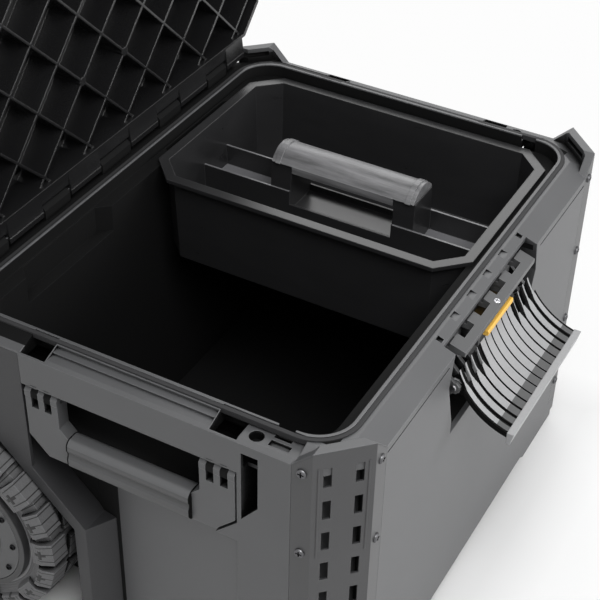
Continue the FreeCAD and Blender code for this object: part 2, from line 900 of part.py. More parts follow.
def latch_base():
    back_y = -recess_floor - latch_back
    back = block(-latch_half, latch_half, back_y, -recess_floor, recess_low + ramp_rise + over,
                 plate_z - plate_fall)
    plate = prism_x([(plate_gap - latch_y, plate_z), (plate_y, plate_z - plate_fall), (plate_y, plate_low),
                     (-recess_floor, plate_low), (-recess_floor, plate_z - latch_plate),
                     (plate_gap - latch_y, plate_z - latch_plate)], -latch_half, latch_half)
    slots = [block(x - hook_width / 2, x + hook_width / 2, hook_y0 - over, back_y - over,
                   plate_z - latch_plate * 4, plate_z + over) for x in hook_rows]
    fins = []
    for x in latch_fins:
        root = back_y + latch_back / 2
        fin = [(root, latch_z + fin_reach), (root, latch_z - fin_reach), (-latch_y, latch_z - latch_knuckle),
               (-latch_y, latch_z + latch_knuckle)]
        plates = [prism_x(fin, x - fin_half, x + fin_half),
                  prism_x(eight(-latch_y, latch_z, latch_knuckle), x - fin_half, x + fin_half)]
        fins += plates + [flip(p) for p in plates]
    guide = block(guide_x - guide_thick / 2, guide_x + guide_thick / 2, -latch_y, back_y + latch_back / 2,
                  plate_low - guide_height, plate_low + over)
    base = join([back, plate] + fins + both(guide))
    return less(base, slots + [rod_x(latch_pin, -far, far, -latch_y, latch_z)])


def latch_pins():
    x0 = latch_fins[0] - fin_half - over
    x1 = latch_fins[-1] + fin_half + over
    return Part.makeCompound(both(rod_x(latch_pin, x0, x1, -latch_y, latch_z)))


def latch_bolt():
    bar = block(-bolt_half, bolt_half, plate_y - bolt_proud, -recess_floor - latch_back - part_gap,
                bolt_z, bolt_z + bolt_height)
    return bar.makeChamfer(bolt_proud, [e for e in bar.Edges if abs(e.tangentAt(e.FirstParameter).x) > 0.9])


flap_tip_y = -latch_y - flap_reach
flap_tip_z = latch_z - flap_drop


def flap_curve(offset):
    # root, middle and tip of the flap's upper face, moved inwards by offset
    start = vec(0, -latch_y - flap_root, latch_z + flap_root_rise - offset)
    middle = vec(0, -latch_y - flap_mid_reach + offset * 0.6, latch_z - flap_mid_drop - offset * 0.8)
    return Part.Arc(start, middle, vec(0, flap_tip_y, flap_tip_z - offset))


def flap_strip(x0, x1, top, bottom):
    upper = flap_curve(top)
    lower = flap_curve(bottom)
    edges = [upper.toShape(), Part.makeLine(upper.EndPoint, lower.EndPoint), lower.toShape(),
             Part.makeLine(lower.StartPoint, upper.StartPoint)]
    face = Part.Face(Part.Wire(Part.__sortEdges__(edges)))
    face.translate(vec(x0, 0, 0))
    return face.extrude(vec(x1 - x0, 0, 0))


def latch_flap():
    pitch = flap_half * 2 / flap_bands
    sheet_low = flap_band + flap_sheet
    solids = [flap_strip(-flap_half, flap_half, flap_band, sheet_low)]
    for i in range(flap_bands):
        x0 = i * pitch - flap_half
        solids.append(flap_strip(x0 + flap_groove / 2, x0 + pitch - flap_groove / 2, 0,
                                 flap_band + flap_sheet / 4))
    lip_z = flap_tip_z - flap_lip
    lip = [(flap_tip_y + over, flap_tip_z - sheet_low), (flap_tip_y + over, flap_tip_z + over),
           (flap_tip_y - flap_lip_reach, flap_tip_z + over), (flap_tip_y - flap_lip_reach / 2, lip_z),
           (flap_tip_y + over / 2, lip_z)]
    solids.append(prism_x(lip, -flap_half, flap_half))
    web = [(-latch_y, latch_z + latch_knuckle), (-latch_y - flap_mid_reach * 0.4, latch_z + flap_root),
           (-latch_y - flap_mid_reach * 0.67, latch_z - flap_mid_drop * 0.7),
           (-latch_y, latch_z - latch_knuckle)]
    for a, b in zip(latch_fins[:-1], latch_fins[1:]):
        x0 = a + fin_half + finger_gap
        x1 = b - fin_half - finger_gap
        parts = [prism_x(eight(-latch_y, latch_z, latch_knuckle), x0, x1), prism_x(web, x0, x1)]
        solids += parts + [flip(p) for p in parts]
    clear = []
    for x in latch_fins:
        gap = block(x - fin_half - finger_gap, x + fin_half + finger_gap, -latch_y - latch_knuckle * 1.7, far,
                    latch_z - latch_knuckle * 3, far)
        clear += both(gap)
    return less(join(solids), clear + [rod_x(latch_pin + running_fit, -far, far, -latch_y, latch_z)])


# Side handle, left: frame with a core that the grip sleeve goes round
handle_low = handle_axis_z - handle_drop + knuckle_radius
bar_top = handle_low + handle_bar
core_low = handle_low + core_inset
core_top = bar_top - core_inset
grip_y0 = handle_middle - grip_length / 2
grip_y1 = handle_middle + grip_length / 2


def side_handle():
    x0 = -half_x
    x1 = handle_thick - half_x
    m = handle_middle
    a = handle_span / 2
    b = arm_inner
    half_bend = handle_bend / 2
    outer = [(m - a, handle_axis_z), (m - a, handle_low + handle_bend), (m - a + handle_bend, handle_low),
             (m + a - handle_bend, handle_low), (m + a, handle_low + handle_bend), (m + a, handle_axis_z)]
    inner = [(m + b, handle_axis_z), (m + b, bar_top + half_bend), (m + b - half_bend, bar_top),
             (m - b + half_bend, bar_top), (m - b, bar_top + half_bend), (m - b, handle_axis_z)]
    sleeve = block(-far, far, grip_y0, grip_y1, handle_low - over, bar_top + grip_proud / 2)
    frame = prism_x(outer + inner, x0, x1).cut(sleeve)
    core = block(-handle_axis_x - core_half, core_half - handle_axis_x, grip_y0 - over, grip_y1 + over,
                 core_low, core_top)
    ends = [prism_y(eight(-handle_axis_x, handle_axis_z, knuckle_radius), y0, y1)
            for y0, y1 in handle_fingers()]
    root = handle_axis_z - knuckle_radius * 2
    gaps = [block(-far, far, y0, y1, root, far) for y0, y1 in tub_fingers(-finger_gap)]
    bore = rod_y(handle_pin + running_fit, -far, far, -handle_axis_x, handle_axis_z)
    return less(join([frame, core] + ends), gaps + [bore])


def side_grip():
    solid = block(-half_x - grip_proud, handle_thick - half_x + grip_proud / 2, grip_y0, grip_y1,
                  handle_low - over, bar_top + grip_proud / 2)
    along = [e for e in solid.Edges if abs(e.tangentAt(e.FirstParameter).y) > 0.9]
    solid = solid.makeFillet(handle_thick / 2, along)
    waist = rod_y(handle_bar / 4, -far, far, -half_x - grip_proud - handle_bar / 5,
                  handle_low + handle_bar * 0.55)
    core = block(-handle_axis_x - core_half, core_half - handle_axis_x, -far, far, core_low, core_top)
    return less(solid, [waist, core])


def side_handle_pins():
    pins = [rod_y(handle_pin, y0, y1, -handle_axis_x, handle_axis_z)
            for y0, y1 in handle_ends((0,), arm_width, 0)]
    return Part.makeCompound(pins + [flip(p) for p in pins])


# Wheel, left: everything turns about the axle
rim_face = wheel_middle + tyre_width / 2
rim_back = wheel_middle - tyre_width / 2
hub_out = rim_face - hub_recess
hub_in = rim_back + hub_stand
ring_seat = ring_thick - rim_face


def turned(points):
    face = Part.Face(Part.makePolygon([vec(x, axle_y, axle_z + r) for x, r in points + points[:1]]))
    return face.revolve(vec(0, axle_y, axle_z), vec(1, 0, 0), 360)


def spun(shape, angle):
    copy = shape.copy()
    copy.rotate(vec(0, axle_y, axle_z), vec(1, 0, 0), angle)
    return copy


def tyre():
    half = tyre_width / 2
    m = -wheel_middle
    crown = tyre_radius - tyre_carcass
    wall = half - tyre_cheek
    bead_half = half - bead_inset
    cheek = crown - bead_inset * 1.5
    profile = [(-bead_half, bead_radius), (-wall, cheek), (bead_inset - wall, crown),
               (wall - bead_inset, crown), (wall, cheek), (bead_half, bead_radius)]
    carcass = turned([(m + x, r) for x, r in profile])
    step = 360.0 / lug_count
    lug_half = lug_fill * math.pi * tyre_radius / lug_count
    top = math.sqrt(tyre_radius ** 2 - lug_half ** 2)
    phase = math.degrees(math.asin(lug_half / tyre_radius))
    slant = lug_inner / 4
    lugs = []
    for i in range(lug_count):
        for side in (-1, 1):
            reach = crown - (lug_short if (i + (side > 0)) % 2 else lug_long)
            section = [(wall - tyre_cheek, reach), (half, reach + tyre_cheek), (half, crown - bead_inset),
                       (half - tyre_carcass, top - tyre_carcass / 4), (lug_inner, top),
                       (lug_inner, crown - tyre_cheek)]
            face = [vec(m + side * x, axle_y - lug_half, axle_z + r) for x, r in section]
            turn = (i + (0.5 if side > 0 else 0)) * step + phase
            lugs.append(spun(prism(face, vec(0, 2 * lug_half, 0)), turn))
        centre = [(m - lug_inner + slant, axle_y - lug_half * 0.9), (m + slant, axle_y - lug_half),
                  (m + lug_inner - slant, axle_y + lug_half * 0.9), (m - slant, axle_y + lug_half)]
        lugs.append(spun(prism_z(centre, axle_z + crown - tyre_cheek, axle_z + top), (i + 0.25) * step + phase))
    return join([carcass] + lugs)


def wheel_rim():
    barrel_in = bead_radius - rim_sheet
    lip = ring_outer + part_gap * 2
    shelf = ring_inner - cap_wall
    barrel = turned([(-rim_back - bead_inset, bead_radius), (-rim_back - bead_inset, barrel_in),
                     (ring_seat + cap_wall, barrel_in), (ring_seat + cap_wall, shelf), (ring_seat, shelf),
                     (ring_seat, lip), (-rim_face, lip), (-rim_face, bead_radius - over),
                     (bead_inset - rim_face, bead_radius)])
    hub = rod_x(hub_radius, -hub_out, -hub_in, axle_y, axle_z)
    root = axle_z + hub_radius - cap_wall
    half = spoke_width / 2
    spoke = prism_x([(axle_y - half, root), (axle_y + half, root), (axle_y + half * 0.8, axle_z + ring_inner),
                     (axle_y - half * 0.8, axle_z + ring_inner)], ring_seat, ring_seat + spoke_depth)
    web = prism_x([(axle_y - cap_wall / 2, root), (axle_y + cap_wall / 2, root),
                   (axle_y + cap_wall / 2, axle_z + barrel_in + over),
                   (axle_y - cap_wall / 2, axle_z + barrel_in + over)],
                  ring_seat + spoke_depth / 2, ring_seat + web_depth)
    arms = [spun(part, i * 360.0 / spokes) for i in range(spokes) for part in (spoke, web)]
    bore = rod_x(axle_radius + running_fit, -rim_face - over, 0, axle_y, axle_z)
    return less(join([barrel, hub] + arms), [bore])


def rim_ring():
    return turned([(ring_seat, ring_inner), (ring_seat, ring_outer), (-rim_face, ring_outer),
                   (-rim_face, ring_inner + ring_thick / 2), (ring_thick / 2 - rim_face, ring_inner)])


def rim_bolts():
    bolt = head(vec(-rim_face, axle_y, axle_z + ring_bolt_circle), vec(-1, 0, 0), ring_bolt, ring_bolt_rise, 6)
    return Part.makeCompound([spun(bolt, i * 360.0 / ring_bolts) for i in range(ring_bolts)])


def hub_cap():
    out = -rim_face - cap_proud
    return turned([(-hub_out, cap_radius - cap_wall), (-hub_out, cap_radius), (out + cap_wall, cap_radius),
                   (out, cap_radius - cap_wall), (out, 0), (out + cap_wall, 0),
                   (out + cap_wall, cap_radius - cap_wall)])


def axle():
    end = hub_out + retainer_thick + over
    return rod_x(axle_radius, -end, end, axle_y, axle_z)


def sleeve_pair(x0, x1):
    ring = rod_x(axle_radius + bush_wall, x0, x1, axle_y, axle_z)
    return Part.makeCompound(both(ring.cut(rod_x(axle_radius, x0, x1, axle_y, axle_z))))


# Tray, set into the right half of the mouth
tray_far = bin_x + tray_rest_side
tray_half_x = (tray_far - tray_near) / 2
tray_half_y = bin_y + tray_rest_front
tray_mid = (tray_far + tray_near) / 2
tray_top = ledge_z + tray_flange_thick
tray_low = arch_points(skin)[1][1] + tray_clear
tray_bar_z = tray_top - tray_bar_drop
trough_z = tray_top - trough_floor_drop


def tray_outline(inset):
    x = tray_half_x - inset
    y = tray_half_y - inset
    cut = tray_corner - inset * (2 - root2)
    right = [(x - cut, -y), (x, cut - y), (x, y - cut), (x - cut, y)]
    return [(tray_mid + px, py) for px, py in right] + [(tray_mid - px, py) for px, py in reversed(right)]


def tray_bowl(inset, z_top, z_low):
    return taper_z(tray_outline(inset + tray_draft), tray_outline(inset), z_low, z_top)


def tray_shell():
    flange = prism_z(tray_outline(0), ledge_z, tray_top)
    outside = tray_bowl(tray_flange, tray_top - over, tray_low)
    inside = tray_bowl(tray_flange + tray_wall, tray_top + over / 100, tray_low + tray_wall)
    body = join([flange, outside]).cut(inside)
    wall = tray_wall / 2
    walls = [block(tray_mid + side * trough_half - wall, tray_mid + side * trough_half + wall,
                   -tray_half_y, tray_half_y, tray_low, tray_top - trough_wall_drop) for side in (-1, 1)]
    trough = block(tray_mid - trough_half, tray_mid + trough_half, -tray_half_y, tray_half_y,
                   trough_z - tray_wall, trough_z)
    bar_half = tray_grip_width / 2 - tray_grip_skirt
    post_end = hand_gap + post_length
    post = [(tray_mid - trough_half - wall, trough_z), (tray_mid + trough_half + wall, trough_z),
            (tray_mid + bar_half, tray_bar_z), (tray_mid - bar_half, tray_bar_z)]
    posts = [prism_y(post, y, y + post_length) for y in (-post_end, hand_gap)]
    bar = block(tray_mid - bar_half, tray_mid + bar_half, -post_end, post_end,
                tray_bar_z - tray_bar_thick, tray_bar_z)
    notch = block(tray_mid - trough_half * 2, tray_mid + trough_half * 2, -hand_gap, hand_gap,
                  tray_top - hand_gap_drop, tray_bar_z - tray_bar_thick)
    inner = join(walls + [trough, bar] + posts).common(
        tray_bowl(tray_flange + wall, tray_top, tray_low + wall))
    return join([body, inner.cut(notch)])


def tray_grip():
    half = tray_grip_width / 2
    arc = Part.Arc(vec(tray_mid - half, 0, tray_bar_z), vec(tray_mid, 0, tray_bar_z + tray_grip_rise),
                   vec(tray_mid + half, 0, tray_bar_z))
    face = Part.Face(Part.Wire([arc.toShape(), Part.makeLine(arc.EndPoint, arc.StartPoint)]))
    length = hand_gap + post_length - over
    face.translate(vec(0, -length, 0))
    skirt = block(tray_mid + half - tray_grip_skirt, tray_mid + half, over - hand_gap, hand_gap - over,
                  tray_bar_z - tray_bar_thick, tray_bar_z + over / 2)
    other = skirt.mirror(vec(tray_mid, 0, 0), vec(1, 0, 0))
    return join([face.extrude(vec(0, 2 * length, 0)), skirt, other])


# Pull handle on the back: three nested pairs of tubes
tube_y = half_y + tube_stand
outer_top = rim_height - outer_top_drop
middle_tube = outer_tube - tube_sheet - slide_gap
inner_tube = middle_tube - tube_sheet - slide_gap
middle_top = outer_top + collar_height
inner_top = middle_top + collar_height
grip_top = inner_top + pull_grip_height


def tube_pair(radius, bore, z0, z1):
    one = rod_z(radius, z0, z1, -tube_spread, tube_y)
    return Part.makeCompound(both(one.cut(rod_z(bore, z0, z1, -tube_spread, tube_y))))


def clamp(z0):
    # bar across the back with a bored boss round each tube
    z1 = z0 + clamp_height
    boss = rod_z(outer_tube + clamp_wall, z0, z1, -tube_spread, tube_y)
    stem = block(-tube_spread - outer_tube, outer_tube - tube_spread, half_y, tube_y, z0, z1)
    reach = tube_spread + outer_tube
    front = half_y + clamp_wall * 2
    cross = prism_z([(-reach - clamp_ear, half_y), (reach + clamp_ear, half_y), (reach, front),
                     (-reach, front)], z0, z1)
    solid = join(both(boss) + both(stem) + [cross])
    return less(solid, both(rod_z(outer_tube, z0, z1, -tube_spread, tube_y)))


def button_block(grow, z0, z1):
    x = button_length / 2 + grow
    y = button_width / 2 + grow
    return block(-x, x, tube_y - y, tube_y + y, z0, z1)


def pull_grip():
    reach = tube_spread + inner_tube + pull_grip_end
    solid = block(-reach, reach, tube_y - pull_grip_half, tube_y + pull_grip_half, inner_top, grip_top)
    along = [e for e in solid.Edges if abs(e.tangentAt(e.FirstParameter).x) > 0.9]
    solid = solid.makeFillet(pull_grip_half * 0.7, along)
    return solid.cut(button_block(slide_gap, grip_top - button_rise - button_travel * 2, grip_top + over))


def release_button():
    z1 = grip_top + button_rise
    solid = button_block(0, grip_top - button_rise - button_travel + slide_gap, z1)
    return solid.makeChamfer(button_rise / 2, [e for e in solid.Edges if e.BoundBox.ZMin > z1 - part_gap])


def build():
    nodes = {"tub_shell": tub_shell(), "rim_seal": rim_seal(), "bracket_screws": screws(),
             "lid_shell": lid_shell(), "hinge_rod": hinge_rod(), "latch_base": latch_base(),
             "latch_pins": latch_pins(), "latch_bolt": latch_bolt(), "latch_flap": latch_flap(),
             "side_handle_pins": side_handle_pins(), "axle": axle(), "tray_shell": tray_shell(),
             "tray_grip": tray_grip(), "pull_grip": pull_grip(), "release_button": release_button()}
    retainer = -hub_out - part_gap
    nodes["axle_retainers"] = sleeve_pair(retainer - retainer_thick, retainer)
    nodes["axle_spacers"] = sleeve_pair(part_gap - hub_in, -well_x)
    pairs = {"corner_bracket": corner_bracket, "arch_cover": arch_cover, "side_handle": side_handle,
             "side_grip": side_grip, "tyre": tyre, "wheel_rim": wheel_rim, "rim_ring": rim_ring,
             "rim_bolts": rim_bolts, "hub_cap": hub_cap}
    for name, make in pairs.items():
        shape = make()
        nodes[name + "_left"] = shape
        nodes[name + "_right"] = flip(shape)
    low = outer_bottom + stage_step
    nodes["handle_lower_clamp"] = clamp(low)
    nodes["handle_upper_clamp"] = clamp(outer_top - stage_step - clamp_height)
    nodes["handle_outer_tubes"] = tube_pair(outer_tube, outer_tube - tube_sheet, outer_bottom, outer_top)
    nodes["handle_outer_collars"] = tube_pair(outer_tube + collar_wall, middle_tube + slide_gap,
                                              outer_top, middle_top)
    nodes["handle_middle_tubes"] = tube_pair(middle_tube, middle_tube - tube_sheet, low, middle_top)
    nodes["handle_middle_collars"] = tube_pair(middle_tube + collar_wall, inner_tube + slide_gap,
                                               middle_top, inner_top)
    nodes["handle_inner_tubes"] = tube_pair(inner_tube, inner_tube - tube_sheet, low + stage_step, inner_top)
    return nodes


nodes = build()
whole = Part.makeCompound(list(nodes.values())).BoundBox
centre_y = (whole.YMin + whole.YMax) / 2
os.makedirs("parts", exist_ok=True)
for name, shape in nodes.items():
    shape.translate(vec(0, -centre_y, 0))
    shape.exportStep("parts/" + name + ".step")
sizes = [round(v, 2) for v in (whole.XLength, whole.YLength, whole.ZLength)]
print("centre_y", round(centre_y, 4), "box", sizes)
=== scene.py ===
import bpy
import bmesh
import json
import math
from mathutils import Matrix, Vector


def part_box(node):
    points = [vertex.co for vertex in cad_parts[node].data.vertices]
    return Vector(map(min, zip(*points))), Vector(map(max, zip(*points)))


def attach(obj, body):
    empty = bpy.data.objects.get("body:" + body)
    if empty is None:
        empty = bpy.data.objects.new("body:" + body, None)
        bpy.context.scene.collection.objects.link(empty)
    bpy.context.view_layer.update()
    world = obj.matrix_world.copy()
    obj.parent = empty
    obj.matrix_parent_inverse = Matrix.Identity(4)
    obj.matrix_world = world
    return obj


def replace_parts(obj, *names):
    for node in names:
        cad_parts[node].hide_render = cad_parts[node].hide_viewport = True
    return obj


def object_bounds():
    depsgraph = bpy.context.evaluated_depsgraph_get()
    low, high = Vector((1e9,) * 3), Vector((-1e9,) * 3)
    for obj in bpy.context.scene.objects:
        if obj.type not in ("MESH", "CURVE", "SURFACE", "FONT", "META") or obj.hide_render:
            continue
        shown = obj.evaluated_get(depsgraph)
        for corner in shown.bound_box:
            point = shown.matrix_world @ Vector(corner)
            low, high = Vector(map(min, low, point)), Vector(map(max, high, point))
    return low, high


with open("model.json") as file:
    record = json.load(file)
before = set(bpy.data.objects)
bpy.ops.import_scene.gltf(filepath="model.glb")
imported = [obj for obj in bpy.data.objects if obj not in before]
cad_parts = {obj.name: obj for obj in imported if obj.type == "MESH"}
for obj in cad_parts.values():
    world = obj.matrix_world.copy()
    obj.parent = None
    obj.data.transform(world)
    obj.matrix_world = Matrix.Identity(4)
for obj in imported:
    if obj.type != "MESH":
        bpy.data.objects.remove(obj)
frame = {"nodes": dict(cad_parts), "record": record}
cadBounds = [list(corner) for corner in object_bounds()]
nodes = frame["nodes"]
print("frame loaded,", len(nodes), "nodes")


class Wire:
    # one value in a node tree; arithmetic on it adds Math nodes
    def __init__(self, tree, socket):
        self.tree = tree
        self.socket = socket

    def math(self, operation, first, second=0.0):
        node = self.tree.nodes.new("ShaderNodeMath")
        node.operation = operation
        for slot, value in zip(node.inputs, (first, second)):
            if isinstance(value, Wire):
                self.tree.links.new(value.socket, slot)
            else:
                slot.default_value = value
        return Wire(self.tree, node.outputs[0])

    def __add__(self, other):
        return self.math("ADD", self, other)

    def __radd__(self, other):
        return self.math("ADD", other, self)

    def __sub__(self, other):
        return self.math("SUBTRACT", self, other)

    def __rsub__(self, other):
        return self.math("SUBTRACT", other, self)

    def __mul__(self, other):
        return self.math("MULTIPLY", self, other)

    def __rmul__(self, other):
        return self.math("MULTIPLY", other, self)

    def __truediv__(self, other):
        return self.math("DIVIDE", self, other)

    def __pow__(self, other):
        return self.math("POWER", self, other)

    def above(self, other):
        return self.math("MAXIMUM", self, other)

    def below(self, other):
        return self.math("MINIMUM", self, other)

    def clamped(self):
        return self.above(0.0).below(1.0)

    def absolute(self):
        return self.math("ABSOLUTE", self)

    def beyond(self, limit):
        # 1 where the value is over the limit, 0 elsewhere
        return self.math("GREATER_THAN", self, limit)

    def under(self, limit):
        return self.math("LESS_THAN", self, limit)

    def between(self, low, high):
        return self.beyond(low) * self.under(high)


class Finish:
    # a material or world tree that is built node by node
    def __init__(self, tree):
        self.tree = tree

    def add(self, kind, settings=None, inputs=None, output=0):
        node = self.tree.nodes.new(kind)
        for name, value in (settings or {}).items():
            setattr(node, name, value)
        for name, value in (inputs or {}).items():
            if isinstance(value, Wire):
                self.tree.links.new(value.socket, node.inputs[name])
            else:
                node.inputs[name].default_value = value
        return Wire(self.tree, node.outputs[output]) if node.outputs else None

    def mix(self, factor, first, second):
        # colour mix; the colour sockets of the Mix node are 6 and 7, its result 2
        return self.add("ShaderNodeMix", {"data_type": "RGBA"}, {0: factor, 6: first, 7: second}, 2)

    def coordinates(self, kind):
        return self.add("ShaderNodeTexCoord", None, None, kind)

    def geometry(self, kind):
        return self.add("ShaderNodeNewGeometry", None, None, kind)

    def axes(self, vector, names):
        return [self.add("ShaderNodeSeparateXYZ", None, {"Vector": vector}, name) for name in names]

    def noise(self, place, scale, detail, rough=0.5):
        return self.add("ShaderNodeTexNoise", None,
                        {"Vector": place, "Scale": scale, "Detail": detail, "Roughness": rough})

    def bump(self, height, edge, strength, depth):
        return self.add("ShaderNodeBump", None,
                        {"Strength": strength, "Distance": depth, "Height": height, "Normal": edge})


def rgba(tint, gain=1.0):
    return tuple(min(1.0, c * gain) for c in tint) + (1.0,)


def newMaterial(name):
    material = bpy.data.materials.new(name)
    material.use_nodes = True
    material.node_tree.nodes.clear()
    return material, Finish(material.node_tree)


# dull black that is painted in where shade falls
shadeBlack = dict(tint=(0.004, 0.004, 0.004, 1.0), rough=0.9, shine=0.06)


def closeMaterial(paint, inputs, paintedShade=None):
    # the last argument is 0 on open faces and 1 where a dull black takes over as painted shade: deep in recesses, in
    # gaps and in grooves
    shader = paint.add("ShaderNodeBsdfPrincipled", None, inputs, "BSDF")
    if paintedShade is not None:
        black = {"Base Color": shadeBlack["tint"], "Roughness": shadeBlack["rough"],
                 "Specular IOR Level": shadeBlack["shine"]}
        shadeDark = paint.add("ShaderNodeBsdfPrincipled", None, black, "BSDF")
        shader = paint.add("ShaderNodeMixShader", None, {0: paintedShade, 1: shader, 2: shadeDark})
    paint.add("ShaderNodeOutputMaterial", None, {"Surface": shader})


edges = dict(samples=4, gain=4.0)


def softEdges(paint, radius):
    # rounded-edge normal, and a mask that is 1 on the edges
    edge = paint.add("ShaderNodeBevel", {"samples": edges["samples"]}, {"Radius": radius})
    face = paint.geometry("Normal")
    along = paint.add("ShaderNodeVectorMath", {"operation": "DOT_PRODUCT"}, {0: edge, 1: face}, "Value")
    return edge, ((1.0 - along) * edges["gain"]).clamped()


# how the painted shade in recesses follows the piece's own occlusion
recess = dict(samples=8, open=0.68, steep=3.6)


def recessShade(paint, reach):
    # painted shade: 1 in the recesses of a piece's own shape, 0 where it lies open
    light = paint.add("ShaderNodeAmbientOcclusion", {"samples": recess["samples"], "only_local": True},
                      {"Distance": reach}, "AO")
    return ((recess["open"] - light) * recess["steep"]).clamped()


# tub's painted shade: sizes in metres, measured from the boxes of its seal, side handle and latch
tubShadeZones = dict(lip=0.007, skin=0.0006, edge=0.001, pocket=0.012, fingers=0.036, knuckle=0.0155,
                 latchDeep=0.008, latchSide=0.012, latchTop=0.001, latchFoot=0.03,
                 hingeBack=0.002, hingeRise=0.004, backDeck=0.082, deckEdge=0.279, far=1.0, dark=0.95)


def tubPlaceShade(paint):
    # painted shade by position: 1 inside the mouth, along the hinge and the rear rim (there also a painted dark
    # reflection of the lid), in the handle pockets, between the handle fingers and behind the latch, 0 elsewhere
    x, y, z = paint.axes(paint.geometry("Position"), "XYZ")
    aside, far = x.absolute(), tubShadeZones["far"]
    low, high = (Vector(corner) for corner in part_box("rim_seal"))
    inset = tubShadeZones["lip"] - tubShadeZones["skin"]
    mouth = aside.under(high.x - inset) * y.between(low.y + inset, high.y - inset)
    mouth = mouth * z.between(0.0, high.z - tubShadeZones["edge"])
    rim = z.between(low.z - tubShadeZones["lip"], high.z + tubShadeZones["hingeRise"])
    arms = aside.under(high.x - tubShadeZones["fingers"]) * z.between(low.z, far)
    hinge = y.between(high.y - tubShadeZones["lip"] + tubShadeZones["hingeBack"], far) * rim.above(arms)
    deck = y.between(tubShadeZones["backDeck"], far) * rim * aside.between(high.x, tubShadeZones["deckEdge"])
    low, high = (Vector(corner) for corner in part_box("side_handle_right"))
    pocket = aside.between(0.0, high.x - tubShadeZones["pocket"]) * y.between(low.y, high.y)
    pocket = pocket * z.between(low.z, high.z)
    ends = y.between(low.y, low.y + tubShadeZones["fingers"]).above(y.between(high.y - tubShadeZones["fingers"], high.y))
    knuckle = tubShadeZones["knuckle"]
    fingers = ends * z.between(high.z - knuckle, high.z) * aside.between(high.x - knuckle, far)
    low, high = (Vector(corner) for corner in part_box("latch_base"))
    latch = aside.between(0.0, high.x + tubShadeZones["latchSide"]) * y.between(low.y + tubShadeZones["latchDeep"], 0.0)
    latch = latch * z.between(low.z - tubShadeZones["latchFoot"], high.z - tubShadeZones["latchTop"])
    return mouth.above(hinge).above(deck).above(pocket).above(fingers).above(latch)


# worn is the gain of the lighter edges: wear and a painted edge highlight
plastic = dict(grain=1400.0, grainDetail=2.0, cloud=9.0, cloudDetail=4.0, edge=0.0012, dark=0.82, light=1.2,
               worn=2.4, bump=0.35, depth=0.00012, cloudSheen=0.12, grainSheen=0.08)


def mouldedPlastic(name, tint, rough, shade=0.0, shadedByPlace=False, shine=0.5, wear=0.8):
    # satin moulding with fine grain and lighter edges, which are wear and a painted edge highlight; shade is the
    # reach in metres of the painted shade in its hollows
    material, paint = newMaterial(name)
    place = paint.coordinates("Object")
    grain = paint.noise(place, plastic["grain"], plastic["grainDetail"])
    cloud = paint.noise(place, plastic["cloud"], plastic["cloudDetail"])
    edge, edgeMask = softEdges(paint, plastic["edge"])
    base = paint.mix(cloud, rgba(tint, plastic["dark"]), rgba(tint, plastic["light"]))
    # lighter edges: wear and a painted edge highlight
    scuffedAndHighlit = paint.mix(edgeMask * wear, base, rgba(tint, plastic["worn"]))
    bump = paint.bump(grain, edge, plastic["bump"], plastic["depth"])
    sheen = rough + (cloud - 0.5) * plastic["cloudSheen"] + (grain - 0.5) * plastic["grainSheen"]
    paintedShade = recessShade(paint, shade) if shade else None
    # the tub also gets painted shade by position
    if shadedByPlace:
        paintedShade = paintedShade.above(tubPlaceShade(paint) * tubShadeZones["dark"])
    closeMaterial(paint, {"Base Color": scuffedAndHighlit, "Roughness": sheen, "Normal": bump, "Specular IOR Level": shine},
                  paintedShade)
    return material


rubber = dict(poreDetail=4.0, poreRough=0.65, dust=22.0, dustDetail=5.0, edge=0.0012, dark=0.75, light=1.35,
              wear=0.45, worn=2.1, bump=0.5, depth=0.0002, sheen=0.15)


def softRubber(name, tint, rough, pore):
    material, paint = newMaterial(name)
    place = paint.coordinates("Object")
    grain = paint.noise(place, pore, rubber["poreDetail"], rubber["poreRough"])
    dust = paint.noise(place, rubber["dust"], rubber["dustDetail"])
    edge, edgeMask = softEdges(paint, rubber["edge"])
    base = paint.mix(dust, rgba(tint, rubber["dark"]), rgba(tint, rubber["light"]))
    rubbed = paint.mix(edgeMask * rubber["wear"], base, rgba(tint, rubber["worn"]))
    closeMaterial(paint, {"Base Color": rubbed, "Roughness": rough + (dust - 0.5) * rubber["sheen"],
                          "Normal": paint.bump(grain, edge, rubber["bump"], rubber["depth"])})
    return material


# tyre: cuts by count, crosses and side wall by radius in metres
tread = dict(sipes=72.0, cut=0.93, shoulder=0.0955, ringPitch=0.0026, ringRise=0.18, lugs=18.0, shift=17.659,
             cross=0.0985, arm=0.0056, half=0.0018, bead=0.083, gaps=0.03, grain=90.0, grainDetail=5.0,
             edge=0.0012, dark=0.7, light=1.4, wear=0.7, worn=3.0, beadLight=2.4, cutShadeTint=0.1,
             bump=0.8, depth=0.0009, grainRise=0.25, sheen=0.2)


